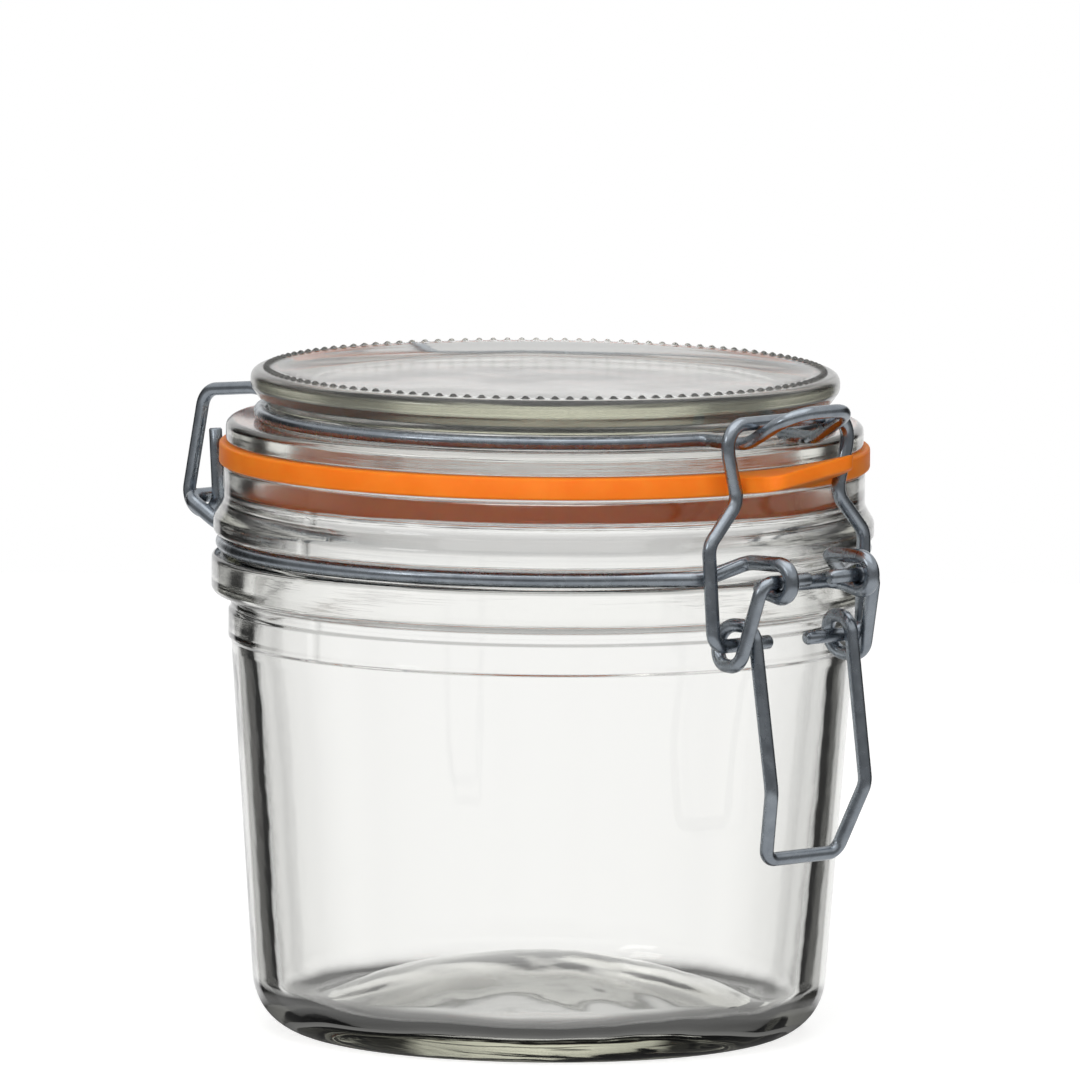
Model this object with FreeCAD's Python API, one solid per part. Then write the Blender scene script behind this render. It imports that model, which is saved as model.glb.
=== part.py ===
import FreeCAD, Part
import math
import os

# Swing-top preserving jar. Millimetres, +Z up, base on z = 0, latch at -Y, hinge at +Y.

# Glass jar
COLLAR_R = 50.0        # widest glass, the collar below the wire groove
JAR_TALL = 85.9        # table to the rim
NECK_TALL = 19.0       # underside of the collar to the rim
COLLAR_TALL = 5.4
COLLAR_PROUD = 2.95    # collar beyond the body
GROOVE_DEEP = 3.0      # wire groove inside the collar
BULGE_BACK = 0.25      # bulge above the groove, inside the collar
BULGE_TALL = 2.6
RIM_BACK = 1.7         # rim inside the collar
RIM_DOWN = 5.0         # foot of the bulge to the upright rim
RIM_THICK = 5.8
LIP_TALL = 1.0         # upright mouth above the inner shoulder
SHOULDER_WIDE = 3.5    # hollow under the rim
SHOULDER_TALL = 3.2
NECK_WALL = 3.0        # behind the wire groove
WALL = 3.6
WALL_TOP = 9.0         # collar down to where the wall is even
FLOOR = 5.0
FLOOR_BEND = 4.0
PUSH_UP = 6.0          # hollow under the base
DOME_TALL = 6.5        # dome of the floor above it
DOME_WIDER = 3.15      # dome of the floor, beyond the hollow
DOME_ROUND = 0.95      # share of a dome that is arc
FOOT_WIDE = 3.7        # ring that stands on the table
HEEL_BEND = 9.0
TAPER = 4.4            # body narrows by this much from neck to base
BAND_DOWN = 3.0        # collar to the band below it
BAND_TALL = 4.0
BAND_PROUD = 0.35
EDGE = 0.5             # small roundings of the mould

# Rubber gasket
GASKET_TALL = 3.3
GASKET_PROUD = 0.7     # beyond the rim
TAB_HALF = 8.9
TAB_OUT = 9.6          # tab beyond the ring
TAB_THICK = 2.6
TAB_CORNER = 2.5
TAB_ROOT = 1.5         # tab sunk in the ring
TAB_TILT = 11.5        # degrees

# Glass lid
FLANGE_BACK = 0.3      # flange inside the rim
FLANGE_TALL = 3.35
CROWN_BACK = 3.65      # crown inside the flange
CROWN_TALL = 7.65      # flange top to the land that carries the beads
CROWN_LOW = 5.1        # flange top to the crown's lower edge
LID_GROOVE_DEEP = 2.6  # wire groove inside the crown
LID_GROOVE_TALL = 2.5
LAND_WIDE = 4.0
PANEL_SLOPE = 5.5      # land to the dished panel
PANEL_DISH = 1.5
PANEL_THICK = 4.0
PLUG_DEEP = 1.0        # plug below the jar's rim
PLUG_WALL = 3.4
BEADS = 120
BEAD_R = 0.6
BEAD_IN = 2.4          # crown's edge to the ring of beads

# Round wire, by diameter
NECK_WIRE = 2.3
LID_WIRE = 2.0
LATCH_WIRE = 2.1

# Neck ring
PIVOT_OUT = 8.9        # lever pivot beyond the collar
HINGE_OUT = 8.4        # hinge bar beyond the collar
HINGE_UP = 3.3         # hinge bar above the groove
EYE_X = 8.4            # each eye, off the centre plane
EYE_HIGH = 5.5         # wire centre to wire centre
BRIDGE_OUT = 3.8       # bridge between the eyes, beyond the collar
BRIDGE_UP = 1.5
NECK_REAR, NECK_FRONT = 27.5, 146.0    # degrees from +Y where the wire enters and leaves the groove

# Lid ring
ARM_X = 7.9            # arms of the nose, where they leave the groove
ARM_BEND = 6.0
VALLEY_OUT = 6.3       # flange to the foot of the nose
VALLEY_UP = 0.4        # flange top to the wire centre there
VALLEY_RUN = 3.5       # level run before the nose
NOSE_OUT = 5.2         # foot to the crossbar of the nose
NOSE_RISE = 5.85
NOSE_HALF = 6.4
NOSE_BEND = 4.0
HOOK_X = 15.5
HOOK_OUT = 4.0         # hook beyond the hinge bar
HOOK_IN = 3.4
HOOK_BEND = 3.1
HOOK_TAIL = 12.7       # upright end of the wire
LID_FRONT, LID_REAR = 165.5, 25.5      # degrees from +Y where the wire leaves and enters the groove

# Lever
COIL_IN, COIL_DOWN = 6.4, 9.8          # coil axis from the pivot
COIL_R = 2.95          # wire centre
COIL_PITCH = 3.0
PIN_X = 2.4            # end of each pin in its eye
LEG_X = 10.0           # handle at the coil
HANDLE_DROP = 32.1     # coil axis to the handle's crossbar
HANDLE_KNEE = 10.6     # crossbar to the bend of the legs
KNEE_OUT = 6.9         # bend of the legs, outside the coil axis
HANDLE_OUT = 3.3       # crossbar, outside the coil axis
HANDLE_NARROW = 2.7    # legs closer at the crossbar

# Clasp
CLASP_TALL = 33.9      # coil axis to the crossbar
CLASP_HALF = 12.5
CLASP_BACK = 0.5       # crossbar inside the coil axis
STUB_X = 4.1           # end of each stub in its coil
FLARE_UP = 15.1        # coil axis to the widest part of the legs
FLARE_OUT = 0.8
NECK_UP = 21.3         # coil axis to the narrowest part, beside the gasket's tab
HEAD_UP = 29.0         # coil axis to the foot of the upright head
HEAD_BEND = 3.2

# Clearances
SEAT = 0.1             # glass to rubber, and wire to its groove
PLAY = 0.3             # between pieces that move past each other
PLUG_PLAY = 0.4

# Derived levels
COLLAR_LOW = JAR_TALL - NECK_TALL
COLLAR_TOP = COLLAR_LOW + COLLAR_TALL
GROOVE_Z = COLLAR_TOP + EDGE + SEAT + NECK_WIRE / 2
GASKET_LOW = JAR_TALL + SEAT
FLANGE_LOW = GASKET_LOW + GASKET_TALL + SEAT
FLANGE_TOP = FLANGE_LOW + FLANGE_TALL
LID_WIRE_Z = FLANGE_TOP + SEAT + LID_WIRE / 2
LAND_Z = FLANGE_TOP + CROWN_TALL

# Derived radii
RIM_R = COLLAR_R - RIM_BACK
MOUTH_R = RIM_R - RIM_THICK
BODY_R = COLLAR_R - COLLAR_PROUD
GROOVE_R = COLLAR_R - GROOVE_DEEP
NECK_WIRE_R = GROOVE_R + SEAT + NECK_WIRE / 2
FLANGE_R = RIM_R - FLANGE_BACK
CROWN_R = FLANGE_R - CROWN_BACK
LID_GROOVE_R = CROWN_R - LID_GROOVE_DEEP
LID_WIRE_R = LID_GROOVE_R + SEAT + LID_WIRE / 2
PLUG_R = MOUTH_R - PLUG_PLAY

# Derived places of the latch and hinge, as (y, z)
PIVOT_Y, PIVOT_Z = -(COLLAR_R + PIVOT_OUT), GROOVE_Z + SEAT / 2
COIL_Y, COIL_Z = PIVOT_Y + COIL_IN, PIVOT_Z - COIL_DOWN
HINGE_Y, HINGE_Z = COLLAR_R + HINGE_OUT, GROOVE_Z + HINGE_UP
VALLEY_Y, VALLEY_Z = -(FLANGE_R + VALLEY_OUT), FLANGE_TOP + VALLEY_UP
NOSE_Y, NOSE_Z = VALLEY_Y - NOSE_OUT, VALLEY_Z + NOSE_RISE
CLASP_Y, CLASP_Z = COIL_Y + CLASP_BACK, COIL_Z + CLASP_TALL
COIL_X = LEG_X + COIL_PITCH
CLASP_X = COIL_X + LATCH_WIRE + PLAY
CLASP_NECK_X = TAB_HALF + LATCH_WIRE / 2 + PLAY


def vec(x, y, z):
    return FreeCAD.Vector(x, y, z)


def unit(v):
    return v * (1 / v.Length)


def bent(*corners):
    """Straight runs joined by tangent arcs, through (x, y, z, bend radius) corners."""
    points = [vec(*c[:3]) for c in corners]
    edges, start = [], points[0]
    for i in range(1, len(points) - 1):
        corner, bend = points[i], corners[i][3]
        come, go = unit(corner - points[i - 1]), unit(points[i + 1] - corner)
        half = come.getAngle(go) / 2
        reach = bend * math.tan(half)
        inward = unit(go - come) * (bend / math.cos(half) - bend)
        edges.append(Part.LineSegment(start, corner - come * reach).toShape())
        start = corner + go * reach
        edges.append(Part.Arc(corner - come * reach, corner + inward, start).toShape())
    edges.append(Part.LineSegment(start, points[-1]).toShape())
    return edges


def turned(*corners):
    """Solid of revolution from (radius, height, fillet) corners, both ends on the axis."""
    edges = bent(*[(r, 0, z, fillet) for r, z, fillet in corners])
    first, last = corners[0], corners[-1]
    edges.append(Part.LineSegment(vec(last[0], 0, last[1]), vec(first[0], 0, first[1])).toShape())
    return Part.Face(Part.Wire(edges)).revolve(vec(0, 0, 0), vec(0, 0, 1), 360)


def wire_form(name, edges, diameter):
    """Round wire along half a path, mirrored in the centre plane, with its gap to itself."""
    path = Part.Wire(edges)
    start = edges[0].valueAt(edges[0].FirstParameter)
    heading = edges[0].tangentAt(edges[0].FirstParameter)
    ring = Part.Wire([Part.Circle(start, heading, diameter / 2).toShape()])
    half = path.makePipeShell([ring], True, False)
    expected = math.pi * diameter ** 2 / 4 * path.Length
    step = diameter / 4
    points = path.discretize(Distance=step)
    apart = int(4 * diameter / step)
    gap = min(p.distanceToPoint(q) for i, p in enumerate(points) for q in points[i + apart:]) - diameter
    print("%s: volume over section times length %.4f, least gap to itself %.2f mm"
          % (name, half.Volume / expected, gap))
    return half.fuse(half.mirror(vec(0, 0, 0), vec(1, 0, 0))).removeSplitter()


def round_groove(radius, height, from_deg, to_deg):
    """Arc about the jar's axis on the -X side, by degrees from +Y towards -Y."""
    def at(deg):
        a = math.radians(deg)
        return vec(-radius * math.sin(a), radius * math.cos(a), height)
    return Part.Arc(at(from_deg), at((from_deg + to_deg) / 2), at(to_deg)).toShape()


def leave_groove(radius, deg, x, ahead):
    """Point of the groove at deg from +Y, and where its tangent reaches x: ahead is 1 or -1."""
    a = math.radians(deg)
    gx, gy = -radius * math.sin(a), radius * math.cos(a)
    run = (x - gx) / (-ahead * math.cos(a))
    return (gx, gy), (x, gy - ahead * math.sin(a) * run)


def dome_corner(radius, low, rise):
    """Corner half way up a dome's profile, with the bend that rounds the whole dome."""
    half = math.atan2(rise, radius / 2) / 2
    return radius / 2, low + rise, DOME_ROUND * radius / 2 / math.tan(half)


def glass_jar():
    """Jar with a domed base, foot, collar, wire groove, bulge and rim, blown hollow under the rim."""
    base_r = BODY_R - TAPER
    foot_in = base_r - HEEL_BEND + EDGE + SEAT - FOOT_WIDE
    dome_r = foot_in + DOME_WIDER
    band_top = COLLAR_LOW - BAND_DOWN
    band_low = band_top - BAND_TALL
    bulge_r = COLLAR_R - BULGE_BACK
    bulge_low = GROOVE_Z + NECK_WIRE / 2 + 2 * SEAT
    lip_low = JAR_TALL - LIP_TALL
    return turned(
        (0, PUSH_UP, 0),
        dome_corner(foot_in, 0, PUSH_UP),
        (foot_in, 0, EDGE),
        (base_r, 0, HEEL_BEND),
        (BODY_R - SEAT, band_low - EDGE, EDGE),
        (BODY_R + BAND_PROUD, band_low, EDGE),
        (BODY_R + BAND_PROUD, band_top, EDGE),
        (BODY_R, band_top + EDGE, EDGE),
        (BODY_R, COLLAR_LOW - 2 * EDGE, EDGE),
        (COLLAR_R, COLLAR_LOW, 2 * EDGE),
        (COLLAR_R, COLLAR_TOP, 1.5 * EDGE),
        (GROOVE_R, GROOVE_Z - NECK_WIRE / 2 - SEAT, 2 * EDGE),
        (GROOVE_R, GROOVE_Z + NECK_WIRE / 2 + SEAT, 2 * EDGE),
        (bulge_r, bulge_low, 2 * EDGE),
        (bulge_r, bulge_low + BULGE_TALL, 3.5 * EDGE),
        (RIM_R, bulge_low + RIM_DOWN, 5 * EDGE),
        (RIM_R, JAR_TALL, 1.5 * EDGE),
        (MOUTH_R, JAR_TALL, EDGE),
        (MOUTH_R, lip_low, EDGE),
        (MOUTH_R + SHOULDER_WIDE, lip_low - SHOULDER_TALL, 3 * EDGE),
        (GROOVE_R - NECK_WALL, GROOVE_Z, 12 * EDGE),
        (BODY_R - WALL, COLLAR_LOW - WALL_TOP, 16 * EDGE),
        (base_r - WALL, FLOOR, FLOOR_BEND),
        (dome_r, FLOOR, EDGE),
        dome_corner(dome_r, FLOOR, DOME_TALL),
        (0, FLOOR + DOME_TALL, 0))


def rubber_gasket():
    """Flat ring squeezed between rim and lid, with a pull tab in front."""
    inner, outer = PLUG_R + PLAY, RIM_R + GASKET_PROUD
    low, top = GASKET_LOW, GASKET_LOW + GASKET_TALL
    middle = (inner + outer) / 2
    edges = bent((middle, 0, low, 0), (outer, 0, low, EDGE), (outer, 0, top, EDGE),
                 (inner, 0, top, EDGE), (inner, 0, low, EDGE), (middle, 0, low, 0))
    ring = Part.Face(Part.Wire(edges)).revolve(vec(0, 0, 0), vec(0, 0, 1), 360)
    root, tip = -(outer - TAB_ROOT), -(outer + TAB_OUT)
    z = low + (GASKET_TALL - TAB_THICK) / 2
    outline = bent((-TAB_HALF, root, z, 0), (-TAB_HALF, tip, z, TAB_CORNER),
                   (TAB_HALF, tip, z, TAB_CORNER), (TAB_HALF, root, z, 0))
    outline.append(Part.LineSegment(vec(TAB_HALF, root, z), vec(-TAB_HALF, root, z)).toShape())
    tab = Part.Face(Part.Wire(outline)).extrude(vec(0, 0, TAB_THICK))
    tab.rotate(vec(0, root, z), vec(-1, 0, 0), TAB_TILT)
    return ring.fuse(tab).removeSplitter()


def glass_lid():
    """Lid with its flange, wire groove, beaded crown, dished panel and hollow plug."""
    land_in = CROWN_R - LAND_WIDE
    panel_z = LAND_Z - PANEL_DISH
    hollow_z = panel_z - PANEL_THICK
    plug_low = JAR_TALL - PLUG_DEEP
    groove_top = FLANGE_TOP + LID_GROOVE_TALL
    lid = turned(
        (0, panel_z, 0),
        (land_in - PANEL_SLOPE, panel_z, 12 * EDGE),
        (land_in, LAND_Z, 3 * EDGE),
        (CROWN_R, LAND_Z, 3 * EDGE),
        (CROWN_R, FLANGE_TOP + CROWN_LOW, 3 * EDGE),
        (CROWN_R - 2 * EDGE, groove_top + 2 * EDGE, 2 * EDGE),
        (LID_GROOVE_R, groove_top, EDGE),
        (LID_GROOVE_R, FLANGE_TOP, 1.5 * EDGE),
        (FLANGE_R, FLANGE_TOP, 2 * EDGE),
        (FLANGE_R, FLANGE_LOW, EDGE),
        (PLUG_R, FLANGE_LOW, EDGE),
        (PLUG_R, plug_low, 1.5 * EDGE),
        (PLUG_R - PLUG_WALL, plug_low, 1.5 * EDGE),
        (PLUG_R - PLUG_WALL - EDGE, hollow_z, PANEL_THICK),
        (0, hollow_z + PLAY, 0))
    bead_ring = CROWN_R - BEAD_IN
    beads = []
    for i in range(BEADS):
        a = 2 * math.pi * i / BEADS
        spot = vec(bead_ring * math.cos(a), bead_ring * math.sin(a), LAND_Z)
        beads.append(Part.makeSphere(BEAD_R, spot, vec(0, 0, 1), 0, 90, 360))
    return lid.fuse(beads)


def neck_ring():
    """Ring round the neck: a hinge bar behind, two eyes and a bridge in front."""
    bend = NECK_WIRE
    rear_x = HOOK_X + LID_WIRE / 2 + 2 * SEAT + bend
    rear, rear_run = leave_groove(NECK_WIRE_R, NECK_REAR, -(rear_x + 2 * SEAT), 1)
    front, front_run = leave_groove(NECK_WIRE_R, NECK_FRONT, -EYE_X, 1)
    rise_from = [front[i] + (front_run[i] - front[i]) * 0.7 for i in range(2)]
    eye_top, eye_low = PIVOT_Z + EYE_HIGH / 2, PIVOT_Z - EYE_HIGH / 2
    eye_out = PIVOT_Y - EYE_HIGH / 2
    bridge_y, bridge_z = -(COLLAR_R + BRIDGE_OUT), eye_low + BRIDGE_UP
    edges = bent((0, HINGE_Y, HINGE_Z, 0), (-rear_x, HINGE_Y, HINGE_Z, bend),
                 (-rear_x - SEAT, COLLAR_R + BRIDGE_UP, GROOVE_Z, 1.75 * bend),
                 (rear_run[0], rear_run[1], GROOVE_Z, bend), (rear[0], rear[1], GROOVE_Z, 0))
    edges.append(round_groove(NECK_WIRE_R, GROOVE_Z, NECK_REAR, NECK_FRONT))
    edges += bent((front[0], front[1], GROOVE_Z, 0), (rise_from[0], rise_from[1], GROOVE_Z, 2.5 * bend),
                  (front_run[0], front_run[1], eye_top - PLAY, bend),
                  (-EYE_X, eye_out, eye_top, 1.1 * bend), (-EYE_X, eye_out, eye_low, bend),
                  (-EYE_X, bridge_y, bridge_z, bend), (0, bridge_y, bridge_z, 0))
    return wire_form("neck_ring", edges, NECK_WIRE)


def lid_ring():
    """Ring round the lid: a nose for the clasp in front, two hooks round the bar behind."""
    bend = LID_WIRE
    front, front_run = leave_groove(LID_WIRE_R, LID_FRONT, -ARM_X, 1)
    rear, rear_run = leave_groove(LID_WIRE_R, LID_REAR, -HOOK_X, -1)
    hook_low = HINGE_Z - NECK_WIRE / 2 - PLAY - LID_WIRE / 2
    spread = (ARM_X - NOSE_HALF) / 3
    edges = bent((0, NOSE_Y, NOSE_Z, 0), (-NOSE_HALF, NOSE_Y, NOSE_Z, NOSE_BEND),
                 (-NOSE_HALF - spread, VALLEY_Y, VALLEY_Z, 1.3 * bend),
                 (-NOSE_HALF - 1.5 * spread, VALLEY_Y + VALLEY_RUN, VALLEY_Z, ARM_BEND),
                 (-NOSE_HALF - 2 * spread, VALLEY_Y + 2 * VALLEY_RUN, LID_WIRE_Z, ARM_BEND),
                 (front_run[0], front_run[1], LID_WIRE_Z, bend), (front[0], front[1], LID_WIRE_Z, 0))
    edges.append(round_groove(LID_WIRE_R, LID_WIRE_Z, LID_FRONT, LID_REAR))
    edges += bent((rear[0], rear[1], LID_WIRE_Z, 0), (rear_run[0], rear_run[1], LID_WIRE_Z, bend),
                  (-HOOK_X, FLANGE_R - EDGE, LID_WIRE_Z + 3 * PLAY, 4 * bend),
                  (-HOOK_X, HINGE_Y, LID_WIRE_Z - PLAY, 1.75 * bend),
                  (-HOOK_X, HINGE_Y + HOOK_OUT, hook_low, HOOK_BEND),
                  (-HOOK_X, HINGE_Y - HOOK_IN, hook_low, HOOK_BEND),
                  (-HOOK_X, HINGE_Y - HOOK_IN + 2 * EDGE, hook_low + HOOK_TAIL, 0))
    return wire_form("lid_ring", edges, LID_WIRE)


def lever():
    """Closing lever: two pins in the eyes, a coil on each arm, and the handle."""
    bend = LATCH_WIRE + SEAT
    corner = COIL_R - SEAT - SEAT / 2
    out, back = COIL_Y - COIL_R, COIL_Y + COIL_R
    low, high = COIL_Z - COIL_R, COIL_Z + COIL_R
    step = COIL_PITCH / 3
    arm_x = COIL_X - LATCH_WIRE / 2 - PLAY
    bar_y, bar_z = COIL_Y - HANDLE_OUT, COIL_Z - HANDLE_DROP
    edges = bent((-PIN_X, PIVOT_Y, PIVOT_Z, 0), (-arm_x, PIVOT_Y, PIVOT_Z, bend),
                 (-COIL_X, out, low, corner), (-COIL_X + step, back, low, corner),
                 (-COIL_X + 2 * step, back, high, corner), (-LEG_X, out, high, corner),
                 (-LEG_X + 2 * SEAT, COIL_Y - KNEE_OUT, bar_z + HANDLE_KNEE, 2 * bend),
                 (-LEG_X + HANDLE_NARROW, bar_y, bar_z, bend), (0, bar_y, bar_z, 0))
    return wire_form("lever", edges, LATCH_WIRE)


def clasp():
    """Clasp: a bail that hooks over the nose and hangs in the lever's coils."""
    bend = LATCH_WIRE + SEAT
    edges = bent((0, CLASP_Y, CLASP_Z, 0), (-CLASP_HALF, CLASP_Y, CLASP_Z, HEAD_BEND),
                 (-CLASP_HALF + SEAT, CLASP_Y, COIL_Z + HEAD_UP, 2 * HEAD_BEND),
                 (-CLASP_NECK_X, CLASP_Y, COIL_Z + NECK_UP, HEAD_BEND),
                 (-CLASP_X - FLARE_OUT, CLASP_Y, COIL_Z + FLARE_UP, HEAD_BEND),
                 (-CLASP_X, COIL_Y, COIL_Z, bend), (-STUB_X, COIL_Y, COIL_Z, 0))
    return wire_form("clasp", edges, LATCH_WIRE)


os.makedirs("parts", exist_ok=True)
for make in (glass_jar, neck_ring, rubber_gasket, glass_lid, lid_ring, lever, clasp):
    shape = make()
    box = shape.BoundBox
    print("%s: valid %s, solids %d, volume %.0f, x %.1f..%.1f, y %.1f..%.1f, z %.1f..%.1f"
          % (make.__name__, shape.isValid(), len(shape.Solids), shape.Volume,
             box.XMin, box.XMax, box.YMin, box.YMax, box.ZMin, box.ZMax))
    shape.exportStep("parts/%s.step" % make.__name__)
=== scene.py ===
import math

import bmesh
import bpy
from mathutils import Matrix, Vector, noise


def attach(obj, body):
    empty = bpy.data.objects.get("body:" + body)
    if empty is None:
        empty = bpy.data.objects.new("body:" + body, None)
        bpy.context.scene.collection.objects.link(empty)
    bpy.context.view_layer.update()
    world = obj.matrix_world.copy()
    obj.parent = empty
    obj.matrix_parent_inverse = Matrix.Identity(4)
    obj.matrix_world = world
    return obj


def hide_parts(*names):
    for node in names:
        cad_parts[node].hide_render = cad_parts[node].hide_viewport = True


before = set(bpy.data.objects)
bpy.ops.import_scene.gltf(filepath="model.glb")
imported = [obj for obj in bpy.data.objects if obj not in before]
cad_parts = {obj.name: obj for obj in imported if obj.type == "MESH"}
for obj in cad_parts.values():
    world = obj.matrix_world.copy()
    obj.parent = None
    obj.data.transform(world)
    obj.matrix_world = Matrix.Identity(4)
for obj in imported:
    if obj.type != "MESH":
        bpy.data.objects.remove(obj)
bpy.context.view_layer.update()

# Glass jar. Clear soda-lime glass, pressed and blown in a two-part iron mould: the outside is true,
# the inside, which only air has touched, is a little wavy, and the mould's parting line is a fine
# rib on both sides. It stands on a ring, inside which the base is pushed up into a low dome.
MM = 0.001
COLLAR_R, BODY_R, RIM_R, MOUTH_R = 50.0, 47.05, 48.3, 42.5
NECK_GROOVE_R, BULGE_R = 47.0, 49.75
BASE_R, HEEL_BEND, WALL, FLOOR = 42.65, 9.0, 3.6, 5.0
PUSH_UP, FOOT_IN, DOME_R, DOME_TALL = 6.0, 30.55, 33.7, 6.5
COLLAR_LOW, COLLAR_TOP, JAR_TALL = 66.9, 72.3, 85.9
LIP_LOW, SHOULDER_R, SHOULDER_LOW = JAR_TALL - 1.0, MOUTH_R + 3.5, JAR_TALL - 4.2
NECK_WIRE = 2.3
NECK_WIRE_Z = COLLAR_TOP + 0.6 + NECK_WIRE / 2
BAND_LOW, BAND_TOP, BAND_PROUD = 59.9, 63.9, 0.35
BULGE_LOW = NECK_WIRE_Z + NECK_WIRE / 2 + 0.2
PARTING_RIB = 0.22
WALL_WAVE, FINE_WAVE, FLOOR_FLOW = 0.08, 0.04, 0.45


def linear(colour):
    """Linear colour of an sRGB hex value."""
    parts = [int(colour[i:i + 2], 16) / 255 for i in (1, 3, 5)]
    return [c / 12.92 if c <= 0.04045 else ((c + 0.055) / 1.055) ** 2.4 for c in parts] + [1.0]


def add(tree, kind, inputs=(), **settings):
    """A new node with its settings, its inputs filled from values or from other nodes' outputs."""
    made = tree.nodes.new(kind)
    for key, value in settings.items():
        setattr(made, key, value)
    for key, value in dict(inputs).items():
        if isinstance(value, bpy.types.NodeSocket):
            tree.links.new(value, made.inputs[key])
        else:
            made.inputs[key].default_value = value
    return made


def bent(corners, turn=6.0, run=4.0):
    """Points along straight runs and tangent arcs through (x, y, z, bend radius) corners, in mm."""
    spots = [Vector(c[:3]) for c in corners]
    points = [spots[0]]
    for i in range(1, len(spots) - 1):
        come, go = (spots[i] - spots[i - 1]).normalized(), (spots[i + 1] - spots[i]).normalized()
        angle, bend = come.angle(go), corners[i][3]
        if angle < 0.001 or bend == 0:
            points.append(spots[i])
            continue
        centre = spots[i] + (go - come).normalized() * (bend / math.cos(angle / 2))
        spoke = spots[i] - come * bend * math.tan(angle / 2) - centre
        axis = come.cross(go).normalized()
        steps = max(3, math.ceil(math.degrees(angle) / turn))
        points += [centre + Matrix.Rotation(angle * k / steps, 3, axis) @ spoke for k in range(steps + 1)]
    points.append(spots[-1])
    filled = points[:1]
    for a, b in zip(points, points[1:]):
        parts = max(1, math.ceil((b - a).length / run))
        filled += [a.lerp(b, k / parts) for k in range(1, parts + 1)]
    return filled


def outline(corners, turn=6.0, run=2.0):
    """(radius, height) points of a turned piece's outline, from its (radius, height, fillet) corners."""
    return [(p.x, p.z) for p in bent([(r, 0, z, fillet) for r, z, fillet in corners], turn, run)]


def turned(name, rows, sides):
    """Closed mesh from rows of points round the jar's axis; a row of one point is a pole."""
    sheet = bmesh.new()
    rings = []
    for row in rows:
        rings.append([sheet.verts.new(Vector(p) * MM) for p in row])
    for low, high in zip(rings, rings[1:]):
        for i in range(sides):
            j = (i + 1) % sides
            corners = [low[i % len(low)], low[j % len(low)], high[j % len(high)], high[i % len(high)]]
            sheet.faces.new(list(dict.fromkeys(corners)))
    bmesh.ops.recalc_face_normals(sheet, faces=sheet.faces)
    mesh = bpy.data.meshes.new(name)
    sheet.to_mesh(mesh)
    sheet.free()
    mesh.shade_smooth()
    piece = bpy.data.objects.new(name, mesh)
    bpy.context.collection.objects.link(piece)
    return piece


def ring_row(r, z, sides):
    """Points at one radius and height, or the pole on the axis."""
    if r < 0.001:
        return [(0, 0, z)]
    return [(r * math.cos(2 * math.pi * i / sides), r * math.sin(2 * math.pi * i / sides), z)
            for i in range(sides)]


def parting_rib(r, z):
    """Outside row with the rib of the mould's parting line at -X and +X, from the band to the rim."""
    row = ring_row(r, z, JAR_SIDES)
    for i in (0, JAR_SIDES // 2) if BAND_LOW < z < JAR_TALL - 2 else ():
        grow = min(r + PARTING_RIB, COLLAR_R) / r
        row[i] = (row[i][0] * grow, row[i][1] * grow, z)
    return row


def blown(r, z):
    """Inside row, its wall and floor a little uneven as blown glass is, true at the mouth."""
    row = []
    fade = min(1, max(0, (COLLAR_LOW - 6 - z) / 18))
    for x, y, _ in ring_row(r, z, JAR_SIDES):
        a = math.atan2(y, x)
        wave = WALL_WAVE * math.sin(2 * a + 0.6) + FINE_WAVE * math.sin(3 * a + z / 15)
        flow = noise.noise(Vector((x / 18, y / 18, 0))) + 0.4 * noise.noise(Vector((x / 6, y / 9, 4)))
        lift = FLOOR_FLOW * flow * max(0, 1 - (z - FLOOR) / 14)
        grow = 1 + fade * wave / max(r, 20)
        row.append((x * grow, y * grow, z + fade * lift))
    return row


JAR_SIDES, DOME_STEPS = 360, 16
dome = [k / DOME_STEPS for k in range(DOME_STEPS)]
outside = [(FOOT_IN * k, PUSH_UP * (1 - k ** 2)) for k in dome] + outline([
    (FOOT_IN, 0, 0), (BASE_R, 0, HEEL_BEND),
    (BODY_R - 0.1, BAND_LOW - 0.5, 0.5), (BODY_R + BAND_PROUD, BAND_LOW, 0.5),
    (BODY_R + BAND_PROUD, BAND_TOP, 0.5), (BODY_R, BAND_TOP + 0.5, 0.5), (BODY_R, COLLAR_LOW - 1.0, 0.5),
    (COLLAR_R, COLLAR_LOW, 1.0), (COLLAR_R, COLLAR_TOP, 0.8),
    (NECK_GROOVE_R, COLLAR_TOP + 0.5, 1.1), (NECK_GROOVE_R, BULGE_LOW - 0.1, 1.1),
    (BULGE_R, BULGE_LOW, 0.9), (BULGE_R, BULGE_LOW + 2.6, 1.8), (RIM_R, BULGE_LOW + 5.0, 2.5),
    (RIM_R, JAR_TALL, 0.8), (RIM_R - 3.0, JAR_TALL, 0)])
inside = outline([
    (RIM_R - 3.0, JAR_TALL, 0), (MOUTH_R, JAR_TALL, 0.5), (MOUTH_R, LIP_LOW, 0.5),
    (SHOULDER_R, SHOULDER_LOW, 1.5), (NECK_GROOVE_R - 3.0, NECK_WIRE_Z, 6.0),
    (BODY_R - WALL, COLLAR_LOW - 9.0, 8.0), (BASE_R - WALL, FLOOR, 4.0), (DOME_R, FLOOR, 0)])
inside += [(DOME_R * k, FLOOR + DOME_TALL * (1 - k ** 2)) for k in reversed(dome)]
jar = turned("jar_glass", [parting_rib(r, z) for r, z in outside] + [blown(r, z) for r, z in inside[1:]],
             JAR_SIDES)


def grey_ramp(tree, value, stops):
    """Grey levels along a value from 0 to 1, with the share that each stop holds over what is behind."""
    made = add(tree, "ShaderNodeValToRGB", {"Fac": value})
    stop = made.color_ramp.elements
    while len(stop) < len(stops):
        stop.new(0.5)
    for element, (at, grey, share) in zip(stop, stops):
        element.position, element.color = at, (grey, grey, grey, share)
    return made.outputs


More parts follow.
